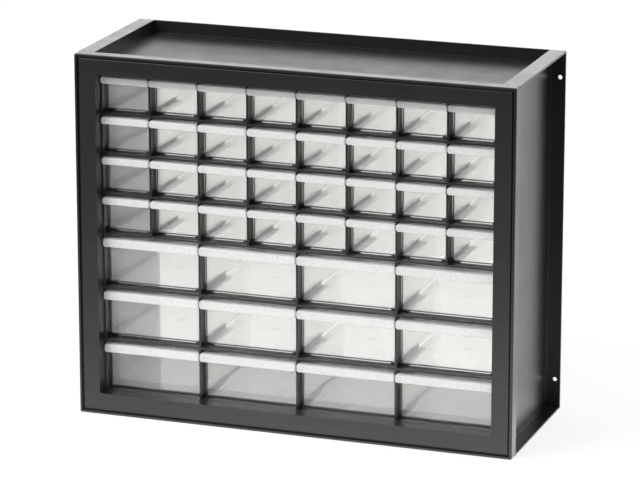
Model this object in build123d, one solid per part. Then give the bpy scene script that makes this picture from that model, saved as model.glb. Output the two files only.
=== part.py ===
from build123d import *
import os

# Parts bin cabinet: a shallow black case, open at the back, with a grid of clear drawers.
# Millimetres.  X runs along the width, Y from the front to the back, Z up.
# The origin is on the surface the case stands on, in the middle of its width and depth.

# ---- driving dimensions -------------------------------------------------------------------
case_depth = 186.0            # front of the rim to the back of the flanges
panel_wall = 2.0              # thickness of the moulded case panels
column_pitch = 55.425         # width of one small bay
small_columns = 8             # small drawers in a row
small_rows = 4                # rows of small drawers, above the large ones
bays_per_large = 2            # small bays that one large drawer takes
large_rows = 3                # rows of large drawers
small_drawer_height = 38.8    # floor to the top of the lip
large_drawer_height = 52.4
small_head_gap = 2.55         # top of a small drawer to the bar above it
large_head_gap = 3.8
running_gap = 0.3             # play between a drawer and what it slides on or stops against

# front frame and bezel
rim_wall = 2.6                # wall of the outer rim
rim_depth = 13.0              # how far the rim reaches back
rim_corner_radius = 2.0
rim_edge_radius = 0.9
groove_width = 2.0            # dark groove between the rim and the bezel
bezel_setback = 1.0           # bezel face behind the rim's front edge
bezel_thickness = 2.5
bezel_edge_radius = 0.9
side_border = 23.3            # case side to the bezel's opening
top_border = 21.7             # case top to the bezel's opening
bottom_border = 23.2          # standing surface to the bezel's opening
seat_thickness = 2.0          # flange of the frame that the bezel sits on
sleeve_clearance = 0.3        # bezel's sleeve inside that flange

# side panels, tray and base
side_recess = 16.0            # depth of the hollow outer side
panel_edge_radius = 0.6
tray_depth = 13.75            # rim to the tray's floor
skirt_drop = 8.0              # stiffening skirts under the tray and the base plate
wall_hole_diameter = 4.8
wall_hole_inset_x = 6.0       # case side to the centre of a wall hole
wall_hole_top = 29.0          # case top to the upper wall holes
wall_hole_bottom = 33.0       # standing surface to the lower wall holes
clip_slot_length = 3.0
clip_slot_width = 1.0
clip_slot_insets = (4.0, 14.0)  # case side to the centres of the two clip slots

# drawer grid
grid_setback = 17.5           # front of the grid behind the front of the case
bar_depth = 14.0              # front to back, for the bars and the posts
bar_height = 2.1
ledge_rise = 0.7              # top of a ledge above the top of its bar
post_width = 2.4
sill_step = 0.2               # lowest runners above the bezel's opening
top_gap = 4.55                # top drawers to the top of the bezel's opening
runner_length = 60.0          # bar to the free end of a runner
runner_tread = 9.0            # width of the ledge that a drawer slides on
runner_thickness = 1.6
small_fin_height = 4.1        # upright guide between two neighbouring small drawers
large_fin_height = 6.3
end_fin_width = 1.2

# drawers
drawer_wall = 1.4
drawer_side_gap = 0.5         # drawer body to the post beside it
panel_setback = 11.0          # drawer's front panel behind the front of the grid
rear_clearance = 13.0         # back of a drawer to the back of the case
drawer_corner_radius = 3.0
drawer_floor_radius = 2.4
lip_gap = 1.1                 # between the lips of neighbouring drawers
lip_reach = 15.0              # lip in front of the drawer's panel
small_lip_height = 7.6
large_lip_height = 9.3
lip_wall = 1.6
lip_corner_radius = 2.4
lip_edge_radius = 1.1
stop_tab_share = 0.35         # width of the stop tab as a share of the drawer's width
stop_catch = 0.8              # stop tab's overlap with the bar above the bay
gate_mark_diameter = 9.0
gate_mark_setback = 76.0      # drawer's front panel to the middle of its gate mark
gate_mark_height = 0.4

# screws that hold the case together
screw_diameter = 3.2
screw_head_diameter = 6.4
screw_head_height = 2.2
screw_hole_clearance = 0.4
pilot_clearance = 0.1
boss_diameter = 7.5
screw_bite = 6.0              # length of screw inside a boss
side_screw_count = 4
rail_screw_count = 4
side_screw_inset = 9.0        # case side to the side screws
rail_screw_inset = 7.6        # case top or bottom to the rail screws
screw_end_margin = 40.0       # first and last side screw from the case's ends
rail_screw_margin = 95.0      # first and last rail screw from the case's sides

# ---- derived places -----------------------------------------------------------------------
opening_width = small_columns * column_pitch
case_width = opening_width + 2 * side_border
row_heights = [small_drawer_height] * small_rows + [large_drawer_height] * large_rows
head_gaps = [small_head_gap] * small_rows + [large_head_gap] * large_rows
fin_heights = [small_fin_height] * small_rows + [large_fin_height] * large_rows
row_count = len(row_heights)
bar_stack = bar_height + ledge_rise + running_gap
row_pitches = [height + gap + bar_stack for height, gap in zip(row_heights, head_gaps)]
lowest_floor = bottom_border + sill_step + running_gap
highest_lip = lowest_floor + sum(row_pitches[1:]) + row_heights[0]
opening_top = highest_lip + top_gap
case_height = opening_top + top_border

half_width = case_width / 2
half_opening = opening_width / 2
front = -case_depth / 2
back = case_depth / 2
web_outer = half_width - side_recess
web_inner = web_outer - panel_wall
tray_floor = case_height - tray_depth
tray_under = tray_floor - panel_wall
grid_front = front + grid_setback
grid_back = grid_front + bar_depth
rim_back = front + rim_depth
bezel_face = front + bezel_setback
seat_front = bezel_face + bezel_thickness
seat_back = seat_front + seat_thickness
sleeve_wall = panel_wall
panel_face = grid_front + panel_setback
drawer_length = back - rear_clearance - panel_face
lip_front = panel_face - lip_reach
stop_face = grid_front - running_gap
base_top = bottom_border + sill_step - runner_thickness
base_under = base_top - panel_wall
side_front_flange = rim_back + panel_wall


def block(x0, x1, y0, y1, z0, z1):
    """Rectangular solid between two corners."""
    size = Box(x1 - x0, y1 - y0, z1 - z0)
    return Pos((x0 + x1) / 2, (y0 + y1) / 2, (z0 + z1) / 2) * size


def rod(radius, x, z, y0, y1):
    """Round solid along Y."""
    turned = Rot(90, 0, 0) * Cylinder(radius, y1 - y0)
    return Pos(x, (y0 + y1) / 2, z) * turned


def evenly(first, last, count):
    """Places from first to last, both included."""
    step = (last - first) / max(count - 1, 1)
    return [first + step * i for i in range(count)]


def row_floor(row):
    """Height of the underside of the drawers in a row, counted from the top."""
    return lowest_floor + sum(row_pitches[row + 1:])


def ledge_top(row):
    """Height that the drawers of a row slide at."""
    return row_floor(row) - running_gap


def bar_top(row):
    """Top of a row's bar; the lowest bar is level with its ledges."""
    return ledge_top(row) - (ledge_rise if row < row_count - 1 else 0)


def row_columns(row):
    """Number of drawers in a row."""
    return small_columns if row < small_rows else small_columns // bays_per_large


def boundaries(row):
    """X of each line between two bays of a row, with both ends of the opening."""
    count = row_columns(row)
    return [-half_opening + opening_width * i / count for i in range(count + 1)]


def case_screws():
    """X, Z and the face under the head of each screw, all along Y."""
    side_heights = evenly(screw_end_margin, case_height - screw_end_margin, side_screw_count)
    rail_reach = half_width - rail_screw_margin
    rail_places = evenly(-rail_reach, rail_reach, rail_screw_count)
    side_x = half_width - side_screw_inset
    places = [(s * side_x, z, side_front_flange) for s in (-1, 1) for z in side_heights]
    places += [(x, case_height - rail_screw_inset, rim_back) for x in rail_places]
    places += [(x, rail_screw_inset, grid_front + panel_wall) for x in rail_places]
    return places


def front_frame():
    """Outer rim with the flange that the bezel sits on, and bosses for the screws."""
    outer = block(-half_width, half_width, front, rim_back, 0, case_height)
    outer = fillet(outer.edges().filter_by(Axis.Y), rim_corner_radius)
    outer = fillet(outer.faces().sort_by(Axis.Y)[0].edges(), rim_edge_radius)
    inner_x = half_width - rim_wall
    inner_top = case_height - rim_wall
    hollow = block(-inner_x, inner_x, front - 1, rim_back + 1, rim_wall, inner_top)
    frame = outer - hollow
    seat = block(-inner_x, inner_x, seat_front, seat_back, rim_wall, inner_top)
    gap = sleeve_wall + sleeve_clearance
    hole_x = half_opening + gap
    seat -= block(-hole_x, hole_x, front, rim_back, bottom_border - gap, opening_top + gap)
    frame += seat
    for x, z, head_face in case_screws():
        boss_end = head_face - panel_wall
        frame += rod(boss_diameter / 2, x, z, seat_back, boss_end)
    for x, z, head_face in case_screws():
        boss_end = head_face - panel_wall
        pilot = (screw_diameter + pilot_clearance) / 2
        frame -= rod(pilot, x, z, boss_end - screw_bite - pilot_clearance, boss_end + 1)
    return frame


def front_bezel():
    """Flat border inside the rim, with a sleeve that reaches back to the grid."""
    inset = rim_wall + groove_width
    outer_x = half_width - inset
    plate = block(-outer_x, outer_x, bezel_face, seat_front, inset, case_height - inset)
    plate = fillet(plate.faces().sort_by(Axis.Y)[0].edges(), bezel_edge_radius)
    sleeve_x = half_opening + sleeve_wall
    sleeve_top = opening_top + sleeve_wall
    plate += block(-sleeve_x, sleeve_x, seat_front, grid_front,
                   bottom_border - sleeve_wall, sleeve_top)
    plate -= block(-half_opening, half_opening, front - 1, grid_front + 1,
                   bottom_border, opening_top)
    return plate


def top_tray():
    """Shallow tray on top: floor, front and back walls, and skirts below its sides."""
    tray = block(-web_inner, web_inner, rim_back - panel_wall, back, tray_under, tray_floor)
    tray += block(-web_inner, web_inner, rim_back - panel_wall, rim_back,
                  tray_under, case_height - rim_wall)
    tray += block(-web_inner, web_inner, back - panel_wall, back, tray_under, case_height)
    skirt_front = grid_back + running_gap
    for side in (-1, 1):
        edge = sorted((side * web_inner, side * (web_inner - panel_wall)))
        tray += block(*edge, skirt_front, back, tray_under - skirt_drop, tray_under)
    hole = (screw_diameter + screw_hole_clearance) / 2
    for x, z, head_face in case_screws():
        if z > tray_floor and abs(x) < web_inner:
            tray -= rod(hole, x, z, head_face - panel_wall - 1, head_face + 1)
    return tray


def bottom_panel():
    """Base plate under the lowest drawers, with skirts down to the standing surface."""
    base = block(-web_inner, web_inner, grid_front, back, base_under, base_top)
    base += block(-web_inner, web_inner, grid_front, grid_front + panel_wall, 0, base_under)
    base += block(-web_inner, web_inner, back - panel_wall, back, 0, base_under)
    for side in (-1, 1):
        edge = sorted((side * web_inner, side * (web_inner - panel_wall)))
        base += block(*edge, grid_front, back, base_under - skirt_drop, base_under)
    hole = (screw_diameter + screw_hole_clearance) / 2
    for x, z, head_face in case_screws():
        if z < base_under and abs(x) < web_inner:
            base -= rod(hole, x, z, head_face - panel_wall - 1, head_face + 1)
    return base


def side_panel(side):
    """Shallow pan that opens outwards: web, four flanges, wall holes and clip slots."""
    pan = block(web_inner, half_width, rim_back, back, 0, case_height)
    outer_edges = pan.edges().filter_by(Axis.Y).group_by(Axis.X)[-1]
    pan = fillet(outer_edges, panel_edge_radius)
    pan -= block(web_outer, half_width + 1, side_front_flange, back - panel_wall,
                 panel_wall, case_height - panel_wall)
    wall_x = half_width - wall_hole_inset_x
    for z in (wall_hole_bottom, case_height - wall_hole_top):
        pan -= rod(wall_hole_diameter / 2, wall_x, z, back - panel_wall - 1, back + 1)
    hole = (screw_diameter + screw_hole_clearance) / 2
    for x, z, head_face in case_screws():
        if x > web_outer:
            pan -= rod(hole, x, z, rim_back - 1, head_face + 1)
    for inset in clip_slot_insets:
        x = half_width - inset
        pan -= block(x - clip_slot_length / 2, x + clip_slot_length / 2,
                     side_front_flange, side_front_flange + clip_slot_width,
                     case_height - panel_wall - 1, case_height + 1)
    return pan if side > 0 else mirror(pan, Plane.YZ)


def top_rail():
    """Head bar over the top row, under the tray."""
    bottom = highest_lip + head_gaps[0]
    return block(-web_inner, web_inner, grid_front, grid_back, bottom, tray_under)


def runner_rack(row):
    """Front bar of a row, with a ledge and a guide fin behind each line between bays."""
    top = ledge_top(row)
    height = runner_thickness if row == row_count - 1 else bar_height
    rack = block(-web_inner, web_inner, grid_front, grid_back, bar_top(row) - height, bar_top(row))
    ledge_back = grid_back + runner_length
    for x in boundaries(row):
        at_end = abs(x) > half_opening - column_pitch / 2
        side = 1 if x > 0 else -1
        fin = [x - post_width / 2, x + post_width / 2]
        ledge = [fin[0] - runner_tread, fin[1] + runner_tread]
        if at_end:
            inner = half_opening - end_fin_width
            fin = sorted((side * inner, side * (inner + end_fin_width)))
            ledge = sorted((side * (inner - runner_tread), side * web_inner))
        rack += block(*ledge, grid_back, ledge_back, top - runner_thickness, top)
        rack += block(*fin, grid_back, ledge_back, top, top + fin_heights[row])
    return rack


def bay_posts():
    """Short uprights between the bars, one at each line between bays."""
    posts = []
    for row in range(row_count):
        foot = bar_top(row)
        head = row_floor(row) + row_heights[row] + head_gaps[row]
        for x in boundaries(row):
            span = [x - post_width / 2, x + post_width / 2]
            if abs(x) > half_opening - column_pitch / 2:
                side = 1 if x > 0 else -1
                inner = half_opening - end_fin_width
                span = sorted((side * inner, side * web_inner))
            posts.append(block(*span, grid_front, grid_back, foot, head))
    return posts


def assembly_screws():
    """Pan-headed screws that hold the panels to the front frame."""
    screws = []
    for x, z, head_face in case_screws():
        tip = head_face - panel_wall - screw_bite
        screw = rod(screw_diameter / 2, x, z, tip, head_face)
        head = rod(screw_head_diameter / 2, x, z, head_face, head_face + screw_head_height)
        head = fillet(head.faces().sort_by(Axis.Y)[-1].edges(), screw_head_height * 0.4)
        screws.append(screw + head)
    return screws


def drawer(bays, height, lip_height, head_gap, gate_mark):
    """Open box with a finger lip, its floor at Z 0 and its front panel's face at Y 0."""
    pitch = bays * column_pitch
    half_body = (pitch - post_width) / 2 - drawer_side_gap
    half_lip = (pitch - lip_gap) / 2
    body = block(-half_body, half_body, 0, drawer_length, 0, height)
    body = fillet(body.edges().filter_by(Axis.Z), drawer_corner_radius)
    body = fillet(body.faces().sort_by(Axis.Z)[0].edges(), drawer_floor_radius)
    pocket = block(drawer_wall - half_body, half_body - drawer_wall,
                   drawer_wall, drawer_length - drawer_wall, drawer_wall, height + 5)
    pocket = fillet(pocket.edges().filter_by(Axis.Z), drawer_corner_radius - drawer_wall)
    pocket = fillet(pocket.faces().sort_by(Axis.Z)[0].edges(), drawer_floor_radius - drawer_wall)

    lip_back = stop_face - panel_face
    profile = Plane.XZ * RectangleRounded(2 * half_lip, lip_height, lip_corner_radius)
    bar = extrude(profile, lip_reach + lip_back)
    bar = fillet(bar.faces().sort_by(Axis.Y)[0].edges(), lip_edge_radius)
    lip = Pos(0, lip_back, height - lip_height / 2) * bar
    lip += block(-half_body, half_body, lip_back, drawer_corner_radius,
                 height - lip_wall, height)
    lip -= block(lip_wall - half_lip, half_lip - lip_wall, lip_wall - lip_reach, 0,
                 height - lip_height - 1, height - lip_wall)
    result = (body + lip) - pocket

    half_tab = half_body * stop_tab_share
    result += block(-half_tab, half_tab, drawer_length - drawer_wall, drawer_length,
                    height - drawer_wall, height + head_gap + stop_catch)
    if gate_mark:
        disc = Cylinder(gate_mark_diameter / 2, gate_mark_height + drawer_wall / 2)
        middle = (gate_mark_height + drawer_wall * 1.5) / 2
        result += Pos(0, gate_mark_setback, middle) * disc
    return result


def write(name, shape):
    """Save one node; a list is kept as a group of separate solids."""
    whole = Compound(children=shape) if isinstance(shape, list) else shape
    export_step(whole, f"parts/{name}.step")


os.makedirs("parts", exist_ok=True)
write("front_frame", front_frame())
write("front_bezel", front_bezel())
write("top_tray", top_tray())
write("bottom_panel", bottom_panel())
write("left_side_panel", side_panel(-1))
write("right_side_panel", side_panel(1))
write("top_rail", top_rail())
write("bay_posts", bay_posts())
write("assembly_screws", assembly_screws())

small_drawer = drawer(1, small_drawer_height, small_lip_height, small_head_gap, False)
large_drawer = drawer(bays_per_large, large_drawer_height, large_lip_height,
                      large_head_gap, True)
for row in range(row_count):
    write(f"runner_rack_row_{row + 1}", runner_rack(row))
    small = row < small_rows
    kind = "small" if small else "large"
    row_in_kind = row + 1 if small else row + 1 - small_rows
    lines = boundaries(row)
    for column in range(row_columns(row)):
        middle = (lines[column] + lines[column + 1]) / 2
        place = Pos(middle, panel_face, row_floor(row))
        shape = small_drawer if small else large_drawer
        write(f"{kind}_drawer_r{row_in_kind}_c{column + 1}", place * shape)

print("case", round(case_width, 3), round(case_depth, 3), round(case_height, 3))
print("drawer length", drawer_length, "travel",
      drawer_length - drawer_wall - (grid_back - panel_face) - running_gap)
print("wall holes", 2 * (half_width - wall_hole_inset_x),
      case_height - wall_hole_top - wall_hole_bottom)
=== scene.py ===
import math

import bmesh
import bpy
from mathutils import Matrix, Vector


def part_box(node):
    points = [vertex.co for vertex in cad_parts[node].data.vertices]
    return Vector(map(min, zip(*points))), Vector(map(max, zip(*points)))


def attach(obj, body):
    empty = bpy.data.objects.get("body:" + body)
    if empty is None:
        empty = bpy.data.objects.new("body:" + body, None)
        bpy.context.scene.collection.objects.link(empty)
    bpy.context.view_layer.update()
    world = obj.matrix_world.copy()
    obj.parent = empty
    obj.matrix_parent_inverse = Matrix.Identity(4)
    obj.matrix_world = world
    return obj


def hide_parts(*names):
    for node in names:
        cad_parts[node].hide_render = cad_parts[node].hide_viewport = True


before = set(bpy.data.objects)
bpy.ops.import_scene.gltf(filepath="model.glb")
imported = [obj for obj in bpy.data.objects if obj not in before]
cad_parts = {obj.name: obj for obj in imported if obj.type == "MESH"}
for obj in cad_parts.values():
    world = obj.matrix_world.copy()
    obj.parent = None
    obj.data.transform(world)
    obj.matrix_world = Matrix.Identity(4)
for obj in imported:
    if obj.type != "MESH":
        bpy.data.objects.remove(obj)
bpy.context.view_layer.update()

bl_info = {
    "name": "Parts bin cabinet",
    "version": (1, 0, 0),
    "blender": (4, 5, 0),
    "location": "View3D > Sidebar > Parts cabinet",
    "description": "Finishes, fasteners and studio for a black parts cabinet with clear drawers",
    "category": "Object",
}

MM = 0.001
CABINET = "cabinet"
SHELL_NODES = ("front_frame", "bottom_panel", "left_side_panel", "right_side_panel")
GRID_NODES = ("top_rail", "bay_posts") + tuple(
    sorted(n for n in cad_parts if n.startswith("runner_rack"))
)
DRAWER_NODES = tuple(sorted(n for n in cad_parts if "_drawer_" in n))

# Mesh work: points closer than WELD are one, and edges that turn more than SHARP_ANGLE stay sharp.
WELD = 0.001 * MM
SHARP_ANGLE = math.radians(35)

# Black plastic: how much paler rubbed edges and dust are, and how its flow marks are drawn out.
WORN_GAIN, WORN_LIFT = 3.2, 0.012
DUST_LIFT = 0.03
STREAK_STRETCH = {"X": (0.4, 9.0, 9.0), "Z": (9.0, 9.0, 0.4)}

# Clear plastic: rounding of its edges, the lip's fade in front of and behind its end, in metres,
# and the cooler cast of the milk away from the lip.
DRAWER_EDGE = 0.5 * MM
LIP_FADE_FRONT, LIP_FADE_BACK = 0.0012, 0.0002
COOL_CAST = (0.94, 0.98, 1.02)

# Screw thread, in mm: rings one after the other from above the tip, on a shank that is plain
# under the head. The crest stands between two heights over each ring's foot.
THREAD_DEPTH = 0.3
TIP_CHAMFER = 0.15
FIRST_RING = 0.6
CREST_LOW, CREST_HIGH, RING_END = 0.4, 0.5, 0.9
UNTHREADED = 1.4
NECK = 0.4

# Pan head, in shares of its height and radius: straight side, rounding and dome.
HEAD_SIDE, HEAD_ROUND = 0.4, 0.5
HEAD_STEPS, HEAD_STEP_DEGREES = 5, 15
DOME_RADIUS, DOME_HEIGHT = 0.45, 0.97

# Cross recess: width of an arm in mm, its taper towards the foot, and the turn in radians from
# one screw's cross to the next.
RECESS_WIDTH = 0.8
RECESS_TAPER = (0.35, 0.8, 1)
HEAD_TWIST = 1.9

# Studio, in metres and watts. The floor's glow is what the camera, reflections and the view
# through the drawers meet; the rest of it stays paper, which holds the shadow.
FLOOR_BACK, FLOOR_SIDE = 2.5, 2.0
PAPER_WHITE = 1.09
PAPER_GLOW = 0.75
PAPER_THROUGH = 1.2
SHEEN_FAR, SHEEN_NEAR = 0.5, 2.8
KEY_PLACE, KEY_AIM = (-1.5, -1.6, 2.2), (0, 0, 0.2)
KEY_SIZE, KEY_POWER = (1.6, 1.6), 58
SENSOR_WIDTH = 36.0
CLIP_END = 50.0


# ---- shader maths -----------------------------------------------------------------------------


class Signal:
    """A node's output that can be used in sums, as a plain number can."""

    def __init__(self, graph, socket):
        self.graph = graph
        self.socket = socket

    def math(self, operation, first, second=None, clamp=False):
        values = {0: first} if second is None else {0: first, 1: second}
        settings = {"operation": operation, "use_clamp": clamp}
        return self.graph.add("ShaderNodeMath", settings, values)

    def __add__(self, other):
        return self.math("ADD", self, other)

    __radd__ = __add__

    def __sub__(self, other):
        return self.math("SUBTRACT", self, other)

    def __rsub__(self, other):
        return self.math("SUBTRACT", other, self)

    def __mul__(self, other):
        return self.math("MULTIPLY", self, other)

    __rmul__ = __mul__

    def clamped(self):
        return self.math("ADD", self, 0.0, clamp=True)

    def ramp(self, low, high):
        """0 at low, 1 at high, straight between them."""
        return self.math("DIVIDE", self - low, high - low, clamp=True)


class Graph:
    """A material's or world's node tree, emptied and built up again."""

    def __init__(self, owner):
        owner.use_nodes = True
        self.tree = owner.node_tree
        self.tree.nodes.clear()

    def put(self, kind, settings=None, values=None):
        """Adds a node, sets its settings first and then its sockets' values or links."""
        node = self.tree.nodes.new(kind)
        for name, value in (settings or {}).items():
            setattr(node, name, value)
        for key, value in (values or {}).items():
            if isinstance(value, Signal):
                self.tree.links.new(value.socket, node.inputs[key])
            else:
                node.inputs[key].default_value = value
        return node

    def add(self, kind, settings=None, values=None, output=0):
        return Signal(self, self.put(kind, settings, values).outputs[output])

    def place(self):
        return self.add("ShaderNodeTexCoord", output="Object")

    def axis(self, vector, name):
        return self.add("ShaderNodeSeparateXYZ", values={0: vector}, output=name)

    def normal(self):
        return self.add("ShaderNodeNewGeometry", output="Normal")

    def mix(self, factor, first, second):
        """Colour between two colours or colour signals."""
        mixed = {0: factor, 6: first, 7: second}
        return self.add("ShaderNodeMix", {"data_type": "RGBA"}, mixed, output=2)

    def noise(self, vector, size, detail=2.0, roughness=0.5):
        """Even noise from 0 to 1 whose blotches are about size metres wide."""
        values = {"Vector": vector, "Scale": 1 / size, "Detail": detail, "Roughness": roughness}
        return self.add("ShaderNodeTexNoise", values=values)

    def bump(self, height, distance, strength=1.0, normal=None):
        values = {"Height": height, "Distance": distance, "Strength": strength}
        if normal is not None:
            values["Normal"] = normal
        return self.add("ShaderNodeBump", values=values)

    def rounded(self, radius):
        """Normal of edges rounded off by a small radius."""
        return self.add("ShaderNodeBevel", {"samples": 4}, {"Radius": radius})

    def edge(self, rounded, gain):
        """1 on the edges that rounded() turns, 0 on flat stretches."""
        dot = self.add(
            "ShaderNodeVectorMath",
            {"operation": "DOT_PRODUCT"},
            {0: rounded, 1: self.normal()},
            output="Value",
        )
        return ((1.0 - dot) * gain).clamped()

    def ray(self, kind):
        """1 for rays of a kind: Camera, Transmission or Glossy."""
        return self.add("ShaderNodeLightPath", output=f"Is {kind} Ray")

    def buried(self):
        """0 for what is seen through 3 faces of plastic or fewer, 1 from 7 faces on."""
        crossed = self.add("ShaderNodeLightPath", output="Transmission Depth")
        return crossed.ramp(3.0, 7.0)

    def principled(self, values):
        return self.add("ShaderNodeBsdfPrincipled", values=values)

    def surface(self, shader, kind="ShaderNodeOutputMaterial"):
        self.put(kind, values={"Surface": shader})


def blank(name):
    """A new material and its empty node tree."""
    material = bpy.data.materials.new(name)
    return material, Graph(material)


def rgba(colour):
    """A colour's three values with full alpha."""
    return (*colour, 1.0)


def grey(level):
    return rgba((level, level, level))


# ---- finishes ---------------------------------------------------------------------------------


def moulded_plastic(name, sizes, shade, roughness, streak_axis="X", gloss_share=1.0):
    """Satin black plastic: fine mould grain, uneven gloss, dust on top and rubbed edges."""
    material, g = blank(name)
    place = g.place()
    grain = g.noise(place, size=sizes.grain_size * MM, detail=3.0, roughness=0.6)
    cloud = g.noise(place, size=0.085, detail=3.0)
    smudge = g.noise(place, size=0.021, detail=4.0, roughness=0.65)
    stretch = STREAK_STRETCH[streak_axis]
    along = g.add("ShaderNodeVectorMath", {"operation": "MULTIPLY"}, {0: place, 1: stretch})
    flow = g.noise(along, size=0.06, detail=2.0)
    rounded = g.rounded(sizes.edge_radius * MM)
    rubbed = g.edge(rounded, 4.0)

    dark = rgba(c * shade for c in sizes.plastic_colour)
    worn = rgba(min(1.0, c * shade * WORN_GAIN + WORN_LIFT) for c in sizes.plastic_colour)
    dusty = rgba(c * shade + DUST_LIFT for c in sizes.plastic_colour)
    up = g.axis(g.normal(), "Z").ramp(0.6, 1.0)
    dust = (up * smudge.ramp(0.42, 0.75) * sizes.dust).clamped()
    colour = g.mix(dust, dark, dusty)
    colour = g.mix((rubbed * cloud.ramp(0.25, 0.8) * 0.6).clamped(), colour, worn)
    colour = g.mix((flow.ramp(0.55, 0.8) * 0.25).clamped(), colour, worn)

    gloss = roughness + (cloud - 0.5) * 0.10 + (smudge - 0.5) * 0.08 + dust * 0.15 - rubbed * 0.06
    bumped = g.bump(grain, sizes.grain_depth * MM, normal=rounded)
    finish = {
        "Base Color": colour,
        "Roughness": gloss.clamped(),
        "Normal": bumped,
        "IOR": 1.5,
        "Specular IOR Level": sizes.specular * gloss_share,
    }
    g.surface(g.principled(finish))
    return material


def clear_plastic(name, sizes, lip_edge):
    """Clear drawer plastic with a milky lip, soft waves, moulding haze and fine scuffs, and a painted
    highlight of extra milk along its edges.
    """
    material, g = blank(name)
    place = g.place()
    wave = g.noise(place, size=0.016, detail=2.0)
    haze = g.noise(place, size=0.045, detail=3.0)
    fine = g.noise(place, size=0.0009, detail=2.0)
    depth = g.axis(place, "Y")
    lip = 1.0 - depth.ramp(lip_edge - LIP_FADE_FRONT, lip_edge + LIP_FADE_BACK)
    rounded = g.rounded(DRAWER_EDGE)
    # Edge mask for a painted highlight: extra milk along the rounded edges of the drawers.
    edge = g.edge(rounded, 3.0)

    tint = rgba(sizes.clear_colour)
    milk = rgba(sizes.milk_colour)
    cool = rgba(c * s for c, s in zip(sizes.milk_colour, COOL_CAST))
    bumped = g.bump(wave + fine * 0.004, 0.08 * MM, strength=0.15, normal=rounded)
    clear = g.principled({
        "Base Color": g.mix((haze * 0.12).clamped(), tint, milk),
        "Roughness": (sizes.haze + (haze - 0.5) * 0.04).clamped(),
        "Normal": bumped,
        "IOR": 1.4,
        "Transmission Weight": 1.0,
    })
    milky = g.principled({
        "Base Color": g.mix(lip, cool, milk),
        "Roughness": (0.28 + (fine - 0.5) * 0.06).clamped(),
        "Normal": bumped,
        "IOR": 1.5,
        "Transmission Weight": 0.25,
    })
    upright = g.axis(g.normal(), "Z")
    level = upright * upright
    frost = sizes.body_milk + level * sizes.floor_milk + (haze - 0.5) * 0.06
    # Milk of the walls, floor and lip, plus a painted highlight where the edge mask adds milk along the
    # edges.
    milk_and_edge_highlight = (frost * (1.0 - lip) + lip * sizes.lip_milk + edge * 0.3).clamped()
    g.surface(g.add("ShaderNodeMixShader", values={0: milk_and_edge_highlight, 1: clear, 2: milky}))
    return material


def zinc_steel(name):
    """Dark zinc-plated steel, cloudy and finely grained."""
    material, g = blank(name)
    place = g.place()
    cloud = g.noise(place, size=0.004, detail=3.0)
    fine = g.noise(place, size=0.0004, detail=2.0)
    finish = {
        "Base Color": g.mix(cloud, rgba((0.16, 0.16, 0.17)), rgba((0.34, 0.34, 0.35))),
        "Metallic": 1.0,
        "Roughness": 0.28 + cloud * 0.2,
        "Normal": g.bump(fine, 0.02 * MM, strength=0.4),
    }
    g.surface(g.principled(finish))
    return material


def dress(node, material):
    """Gives a CAD node its finish."""
    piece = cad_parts[node]
    piece.data.materials.clear()
    piece.data.materials.append(material)


# ---- screws -----------------------------------------------------------------------------------


def solids_of(node):
    """Lowest and highest corner of each separate solid in a CAD node."""
    built = bmesh.new()
    built.from_mesh(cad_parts[node].data)
    bmesh.ops.remove_doubles(built, verts=built.verts, dist=WELD)
    loose, corners = set(built.verts), []
    while loose:
        waiting = [loose.pop()]
        reached = list(waiting)
        while waiting:
            vert = waiting.pop()
            fresh = [e.other_vert(vert) for e in vert.link_edges]
            fresh = [v for v in fresh if v in loose]
            loose.difference_update(fresh)
            waiting += fresh
            reached += fresh
        sides = [[v.co[i] for v in reached] for i in range(3)]
        corners.append((Vector(map(min, sides)), Vector(map(max, sides))))
    built.free()
    return corners


def lathe(name, profile, steps=28):
    """Mesh turned about Z from (radius, height) points in mm, ends closed on the axis."""
    built = bmesh.new()
    verts = [built.verts.new((r * MM, 0, z * MM)) for r, z in profile]
    edges = [built.edges.new(pair) for pair in zip(verts, verts[1:])]
    bmesh.ops.spin(built, geom=verts + edges, axis=(0, 0, 1), cent=(0, 0, 0), angle=math.tau,
                   steps=steps, use_merge=True)
    bmesh.ops.remove_doubles(built, verts=built.verts, dist=WELD)
    bmesh.ops.recalc_face_normals(built, faces=built.faces)
    mesh = bpy.data.meshes.new(name)
    built.to_mesh(mesh)
    built.free()
    return mesh


def cross_cutter(reach, width, depth, top):
    """Tapered cross, in mm, that a driver's recess is cut with."""
    built = bmesh.new()
    for turn in (0, 90):
        arm = bmesh.ops.create_cube(built, size=1.0)["verts"]
        bmesh.ops.scale(built, vec=(reach * MM, width * MM, 2 * depth * MM), verts=arm)
        foot = [v for v in arm if v.co.z < 0]
        bmesh.ops.scale(built, vec=RECESS_TAPER, verts=foot)
        bmesh.ops.translate(built, vec=(0, 0, top * MM), verts=arm)
        bmesh.ops.rotate(built, matrix=Matrix.Rotation(math.radians(turn), 3, "Z"), verts=arm)
    mesh = bpy.data.meshes.new("recess")
    built.to_mesh(mesh)
    built.free()
    return mesh


def carved(mesh, cutter):
    """Mesh with another one cut out of it."""
    solid = bpy.data.objects.new("blank", mesh)
    tool = bpy.data.objects.new("tool", cutter)
    for piece in (solid, tool):
        bpy.context.scene.collection.objects.link(piece)
    cut = solid.modifiers.new("recess", "BOOLEAN")
    cut.operation, cut.solver, cut.use_self, cut.object = "DIFFERENCE", "EXACT", True, tool
    graph = bpy.context.evaluated_depsgraph_get()
    result = bpy.data.meshes.new_from_object(solid.evaluated_get(graph))
    for piece in (solid, tool):
        bpy.data.objects.remove(piece)
    return result


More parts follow.
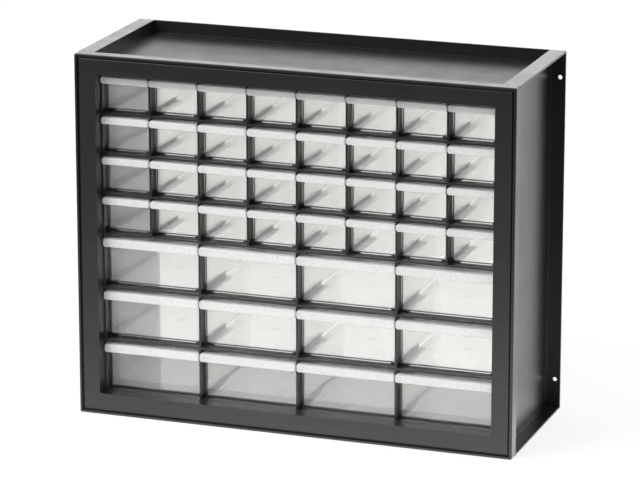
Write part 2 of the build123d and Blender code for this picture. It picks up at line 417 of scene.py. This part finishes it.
def screw_profile(sizes):
    """Radius and height of a screw from its tip to the crown of its pan head."""
    shank, head = sizes.shank_diameter / 2, sizes.head_diameter / 2
    root, crown = shank - THREAD_DEPTH, sizes.head_height
    points = [(0, -sizes.shank_length), (root - TIP_CHAMFER, -sizes.shank_length)]
    for turn in range(int(sizes.shank_length - UNTHREADED)):
        foot = FIRST_RING + turn - sizes.shank_length
        crest = [(shank, foot + CREST_LOW), (shank, foot + CREST_HIGH)]
        points += [(root, foot), *crest, (root, foot + RING_END)]
    side, rim = crown * HEAD_SIDE, crown * HEAD_ROUND
    points += [(shank, -NECK), (shank, 0), (head, 0), (head, side)]
    for step in range(1, HEAD_STEPS + 1):
        angle = math.radians(HEAD_STEP_DEGREES * step)
        points.append((head - rim * (1 - math.cos(angle)), side + rim * math.sin(angle)))
    return points + [(head * DOME_RADIUS, crown * DOME_HEIGHT), (0, crown)]


# ---- sizes and colours ------------------------------------------------------------------------


class CaseFinish(bpy.types.PropertyGroup):
    plastic_colour: bpy.props.FloatVectorProperty(
        name="Plastic colour", description="Black of the moulded case", subtype="COLOR",
        size=3, min=0, max=1, default=(0.0085, 0.0088, 0.0092))
    grain_size: bpy.props.FloatProperty(
        name="Grain size", description="Width of the mould grain, in mm", default=0.6, min=0.1)
    grain_depth: bpy.props.FloatProperty(
        name="Grain depth", description="Height of the mould grain, in mm", default=0.012, min=0)
    edge_radius: bpy.props.FloatProperty(
        name="Edge radius", description="Rounding of the moulded edges, in mm", default=0.7, min=0)
    dust: bpy.props.FloatProperty(
        name="Dust", description="Dust on faces that look up", default=0.2, min=0, max=1)
    specular: bpy.props.FloatProperty(
        name="Specular", description="Strength of the plastic's gloss", default=0.5, min=0, max=1)
    face_roughness: bpy.props.FloatProperty(
        name="Face roughness", description="Roughness of the bezel", default=0.40, min=0, max=1)
    shell_roughness: bpy.props.FloatProperty(
        name="Shell roughness", description="Roughness of the panels", default=0.34, min=0, max=1)
    tray_roughness: bpy.props.FloatProperty(
        name="Tray roughness", description="Roughness of the tray", default=0.40, min=0, max=1)


class DrawerFinish(bpy.types.PropertyGroup):
    clear_colour: bpy.props.FloatVectorProperty(
        name="Clear colour", description="Tint of the clear plastic", subtype="COLOR",
        size=3, min=0, max=1, default=(0.992, 0.985, 0.970))
    milk_colour: bpy.props.FloatVectorProperty(
        name="Milk colour", description="Colour of the milky lip", subtype="COLOR",
        size=3, min=0, max=1, default=(0.96, 0.96, 0.95))
    lip_reach: bpy.props.FloatProperty(
        name="Lip reach", description="Lip in front of a drawer's panel, in mm", default=15.0, min=0)
    haze: bpy.props.FloatProperty(
        name="Haze", description="Roughness of the clear walls", default=0.035, min=0, max=1)
    body_milk: bpy.props.FloatProperty(
        name="Body milk", description="Share of milky plastic in the walls", default=0.085, min=0, max=1)
    floor_milk: bpy.props.FloatProperty(
        name="Floor milk", description="Milky share that the floor has more", default=0.10, min=0, max=1)
    lip_milk: bpy.props.FloatProperty(
        name="Lip milk", description="Share of milky plastic in the lip", default=0.85, min=0, max=1)


class ScrewSizes(bpy.types.PropertyGroup):
    shank_diameter: bpy.props.FloatProperty(
        name="Shank diameter", description="Over the thread's crests, in mm", default=3.2, min=1)
    shank_length: bpy.props.FloatProperty(
        name="Shank length", description="Under the head, in mm", default=8.0, min=3)
    head_diameter: bpy.props.FloatProperty(
        name="Head diameter", description="Width of the pan head, in mm", default=6.4, min=2)
    head_height: bpy.props.FloatProperty(
        name="Head height", description="Height of the pan head, in mm", default=2.2, min=0.5)
    recess_reach: bpy.props.FloatProperty(
        name="Recess reach", description="Width across the driver's cross, in mm", default=3.6, min=0.5)
    recess_depth: bpy.props.FloatProperty(
        name="Recess depth", description="Depth of the driver's cross, in mm", default=1.3, min=0.2)


class StageSettings(bpy.types.PropertyGroup):
    floor_colour: bpy.props.FloatVectorProperty(
        name="Floor colour", description="Pale studio floor", subtype="COLOR",
        size=3, min=0, max=1, default=(0.86, 0.86, 0.86))
    floor_reach: bpy.props.FloatProperty(
        name="Floor reach", description="Floor in front of the case", default=0.75, unit="LENGTH")
    camera_azimuth: bpy.props.FloatProperty(
        name="Azimuth", description="Camera's turn to the right of the front",
        default=math.radians(19.4), subtype="ANGLE")
    camera_elevation: bpy.props.FloatProperty(
        name="Elevation", description="Camera's height above the aim, as an angle",
        default=math.radians(15.59), subtype="ANGLE")
    camera_distance: bpy.props.FloatProperty(
        name="Distance", description="Camera to its aim", default=3.992, unit="LENGTH")
    camera_lens: bpy.props.FloatProperty(
        name="Lens", description="Focal length on a 36 mm wide sensor, in mm", default=208.24)
    aim_x: bpy.props.FloatProperty(
        name="Aim X", description="Aim beside the case's middle", default=-0.0006, unit="LENGTH")
    aim_z: bpy.props.FloatProperty(
        name="Aim Z", description="Aim above the floor", default=0.1925, unit="LENGTH")
    sky_strength: bpy.props.FloatProperty(
        name="Sky strength", description="Soft light from all around", default=0.85, min=0)
    through_white: bpy.props.FloatProperty(
        name="Backdrop through plastic",
        description="Brightness of the over-exposed backdrop behind many walls of the drawers",
        default=2.7, min=0)
    rear_sheen: bpy.props.FloatProperty(
        name="Rear sheen", description="Extra brightness of the backdrop in reflections",
        default=2.4, min=0)


# ---- operators --------------------------------------------------------------------------------


class CABINET_OT_shell(bpy.types.Operator):
    """Finish the rim, tray, base and side panels"""

    bl_idname = "cabinet.shell"
    bl_label = "Case shell"

    def execute(self, context):
        sizes = context.scene.case_finish
        roughness = sizes.shell_roughness
        flat = moulded_plastic("case plastic", sizes, 1.0, roughness)
        upright = moulded_plastic("side plastic", sizes, 1.0, roughness, streak_axis="Z")
        tray = moulded_plastic("tray plastic", sizes, 1.0, sizes.tray_roughness, gloss_share=0.7)
        for node in SHELL_NODES:
            dress(node, upright if "side" in node else flat)
        dress("top_tray", tray)
        return {"FINISHED"}


class CABINET_OT_bezel(bpy.types.Operator):
    """Finish the bezel"""

    bl_idname = "cabinet.bezel"
    bl_label = "Bezel"

    def execute(self, context):
        sizes = context.scene.case_finish
        dress("front_bezel", moulded_plastic("bezel plastic", sizes, 1.0, sizes.face_roughness))
        return {"FINISHED"}


class CABINET_OT_grid(bpy.types.Operator):
    """Finish the bars, posts and runners"""

    bl_idname = "cabinet.grid"
    bl_label = "Drawer grid"

    def execute(self, context):
        sizes = context.scene.case_finish
        plastic = moulded_plastic("grid plastic", sizes, 1.1, sizes.shell_roughness)
        for node in GRID_NODES:
            dress(node, plastic)
        return {"FINISHED"}


class CABINET_OT_drawers(bpy.types.Operator):
    """Finish the clear drawers"""

    bl_idname = "cabinet.drawers"
    bl_label = "Drawers"

    def execute(self, context):
        sizes = context.scene.drawer_finish
        low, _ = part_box(DRAWER_NODES[0])
        lip_reach = sizes.lip_reach * MM
        plastic = clear_plastic("drawer plastic", sizes, low.y + lip_reach)
        for node in DRAWER_NODES:
            dress(node, plastic)
        return {"FINISHED"}


class CABINET_OT_screws(bpy.types.Operator):
    """Pan-headed case screws with threads and a cross recess, one in each solid's place"""

    bl_idname = "cabinet.screws"
    bl_label = "Screws"

    def execute(self, context):
        sizes = context.scene.screw_sizes
        turned = lathe("screw", screw_profile(sizes))
        cross = cross_cutter(
            sizes.recess_reach, RECESS_WIDTH, sizes.recess_depth, sizes.head_height)
        one = carved(turned, cross)
        laid = Matrix.Rotation(math.radians(-90), 4, "X")
        plain = sorted(solids_of("assembly_screws"), key=lambda corners: tuple(corners[0]))
        built = bmesh.new()
        for index, (low, high) in enumerate(plain):
            known = len(built.verts)
            built.from_mesh(one)
            built.verts.ensure_lookup_table()
            fresh = built.verts[known:]
            head_face = high.y - sizes.head_height * MM
            place = Matrix.Translation(((low.x + high.x) / 2, head_face, (low.z + high.z) / 2))
            turn = laid @ Matrix.Rotation(index * HEAD_TWIST, 4, "Z")
            bmesh.ops.transform(built, matrix=place @ turn, verts=fresh)
        bmesh.ops.recalc_face_normals(built, faces=built.faces)
        mesh = bpy.data.meshes.new("case screws")
        built.to_mesh(mesh)
        built.free()
        mesh.shade_smooth()
        mesh.set_sharp_from_angle(angle=SHARP_ANGLE)
        mesh.materials.append(zinc_steel("screw zinc"))
        screws = bpy.data.objects.new("case_screws", mesh)
        context.scene.collection.objects.link(screws)
        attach(screws, CABINET)
        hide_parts("assembly_screws")
        return {"FINISHED"}


# ---- studio -----------------------------------------------------------------------------------


def camera_frame(stage):
    """Matrix of a camera that looks at the aim from the photo's side."""
    turn, rise = stage.camera_azimuth, stage.camera_elevation
    back = Vector((math.sin(turn) * math.cos(rise), -math.cos(turn) * math.cos(rise), math.sin(rise)))
    right = Vector((math.cos(turn), math.sin(turn), 0))
    up = back.cross(right)
    place = Vector((stage.aim_x, 0, stage.aim_z)) + back * stage.camera_distance
    matrix = Matrix((right, up, back)).transposed().to_4x4()
    matrix.translation = place
    return matrix


def plain_lamp(name, place, target, size, power):
    """A soft rectangular lamp at a place, turned to its target."""
    data = bpy.data.lights.new(name, "AREA")
    data.shape = "RECTANGLE"
    data.size, data.size_y = size
    data.energy = power
    lamp = bpy.data.objects.new(name, data)
    bpy.context.scene.collection.objects.link(lamp)
    aim = Vector(target) - Vector(place)
    turn = aim.to_track_quat("-Z", "Y").to_matrix().to_4x4()
    lamp.matrix_world = Matrix.Translation(place) @ turn


class CABINET_OT_stage(bpy.types.Operator):
    """Floor, soft light and camera"""

    bl_idname = "cabinet.stage"
    bl_label = "Studio"

    def execute(self, context):
        stage = context.scene.stage_settings
        self.floor(stage)
        self.sky(context.scene, stage)
        self.camera(context.scene, stage)
        plain_lamp("key light", KEY_PLACE, KEY_AIM, KEY_SIZE, KEY_POWER)
        return {"FINISHED"}

    def floor(self, stage):
        mesh = bpy.data.meshes.new("studio floor")
        built = bmesh.new()
        bmesh.ops.create_grid(built, x_segments=1, y_segments=1, size=1.0)
        middle = Vector((0, (FLOOR_BACK - stage.floor_reach) / 2, 0))
        spread = Vector((FLOOR_SIDE, (FLOOR_BACK + stage.floor_reach) / 2, 1))
        bmesh.ops.scale(built, vec=spread, verts=built.verts)
        bmesh.ops.translate(built, vec=middle, verts=built.verts)
        built.to_mesh(mesh)
        built.free()
        floor = bpy.data.objects.new("studio floor", mesh)
        bpy.context.scene.collection.objects.link(floor)
        mesh.materials.append(self.paper(stage))

    def paper(self, stage):
        """Pale paper, glowing where the camera, reflections and the drawers' plastic meet it."""
        material, g = blank("floor paper")
        seen, through, mirrored = g.ray("Camera"), g.ray("Transmission"), g.ray("Glossy")
        place = g.place()
        tooth = g.bump(g.noise(place, size=0.002), 0.05 * MM)
        colour = rgba(stage.floor_colour)
        paper = g.principled({"Base Color": colour, "Roughness": 0.85, "Normal": tooth})
        depth = g.axis(place, "Y")
        aside = g.axis(place, "X").ramp(-0.4, 0.3)
        near = depth.ramp(-0.75, -0.20) * (1.0 - depth.ramp(-0.05, 0.15) * 0.6) * (0.6 + aside * 0.7)
        sheen = g.mix(near, grey(SHEEN_FAR), grey(SHEEN_NEAR))
        lit = grey(stage.through_white * PAPER_THROUGH)
        white = g.mix(through * g.buried(), grey(PAPER_WHITE), lit)
        bright = g.mix(mirrored, white, sheen)
        glow = g.add("ShaderNodeEmission", values={"Color": bright, "Strength": 1.0})
        share = (seen + through + mirrored).clamped() * PAPER_GLOW
        g.surface(g.add("ShaderNodeMixShader", values={0: share, 1: paper, 2: glow}))
        return material

    def sky(self, scene, stage):
        world = bpy.data.worlds.new("studio sky")
        scene.world = world
        g = Graph(world)
        direct, through, mirrored = g.ray("Camera"), g.ray("Transmission"), g.ray("Glossy")
        heading = g.add("ShaderNodeTexCoord", output="Generated")
        height = g.axis(heading, "Z")
        behind = g.axis(heading, "Y")
        # Soft light from above, more from behind, and a low band behind the case in reflections.
        tent = height.ramp(-0.25, 0.15) * (0.8 + behind.ramp(-0.6, 0.4) * 0.3)
        band = height.ramp(-0.02, 0.06) * (1.0 - height.ramp(0.30, 0.45))
        rear = mirrored * behind.ramp(0.5, 0.8) * band * stage.rear_sheen
        strength = (tent * 0.9 + 0.1 + rear) * stage.sky_strength
        white = (direct + through).clamped()
        behind_drawers = 1.0 + g.buried() * (stage.through_white - 1.0)
        level = strength * (1.0 - white) + direct + through * behind_drawers
        back = g.add("ShaderNodeBackground", values={"Color": (1, 1, 1, 1), "Strength": level})
        g.surface(back, "ShaderNodeOutputWorld")

    def camera(self, scene, stage):
        data = bpy.data.cameras.new("photo camera")
        data.sensor_fit = "HORIZONTAL"
        data.sensor_width = SENSOR_WIDTH
        data.lens = stage.camera_lens
        data.clip_end = CLIP_END
        camera = bpy.data.objects.new("photo camera", data)
        scene.collection.objects.link(camera)
        camera.matrix_world = camera_frame(stage)
        scene.camera = camera
        scene.view_settings.view_transform = "Standard"


# ---- panel ------------------------------------------------------------------------------------


class CABINET_PT_panel(bpy.types.Panel):
    """Lists the cabinet's operators and settings"""

    bl_idname = "CABINET_PT_panel"
    bl_label = "Parts cabinet"
    bl_space_type = "VIEW_3D"
    bl_region_type = "UI"
    bl_category = "Parts cabinet"

    def draw(self, context):
        for operator in OPERATORS:
            self.layout.operator(operator.bl_idname)
        for group in (getattr(context.scene, name) for name in GROUPS):
            box = self.layout.box()
            for name in group.__annotations__:
                box.prop(group, name)


OPERATORS = (
    CABINET_OT_stage,
    CABINET_OT_shell,
    CABINET_OT_bezel,
    CABINET_OT_grid,
    CABINET_OT_drawers,
    CABINET_OT_screws,
)
GROUPS = {
    "case_finish": CaseFinish,
    "drawer_finish": DrawerFinish,
    "screw_sizes": ScrewSizes,
    "stage_settings": StageSettings,
}


def register():
    for cls in (*GROUPS.values(), *OPERATORS, CABINET_PT_panel):
        bpy.utils.register_class(cls)
    for name, group in GROUPS.items():
        setattr(bpy.types.Scene, name, bpy.props.PointerProperty(type=group))


def unregister():
    for name in GROUPS:
        delattr(bpy.types.Scene, name)
    for cls in reversed((*GROUPS.values(), *OPERATORS, CABINET_PT_panel)):
        bpy.utils.unregister_class(cls)


def main():
    """Builds the whole scene."""
    register()
    for operator in OPERATORS:
        group, name = operator.bl_idname.split(".")
        getattr(getattr(bpy.ops, group), name)()


if __name__ == "__main__":
    main()
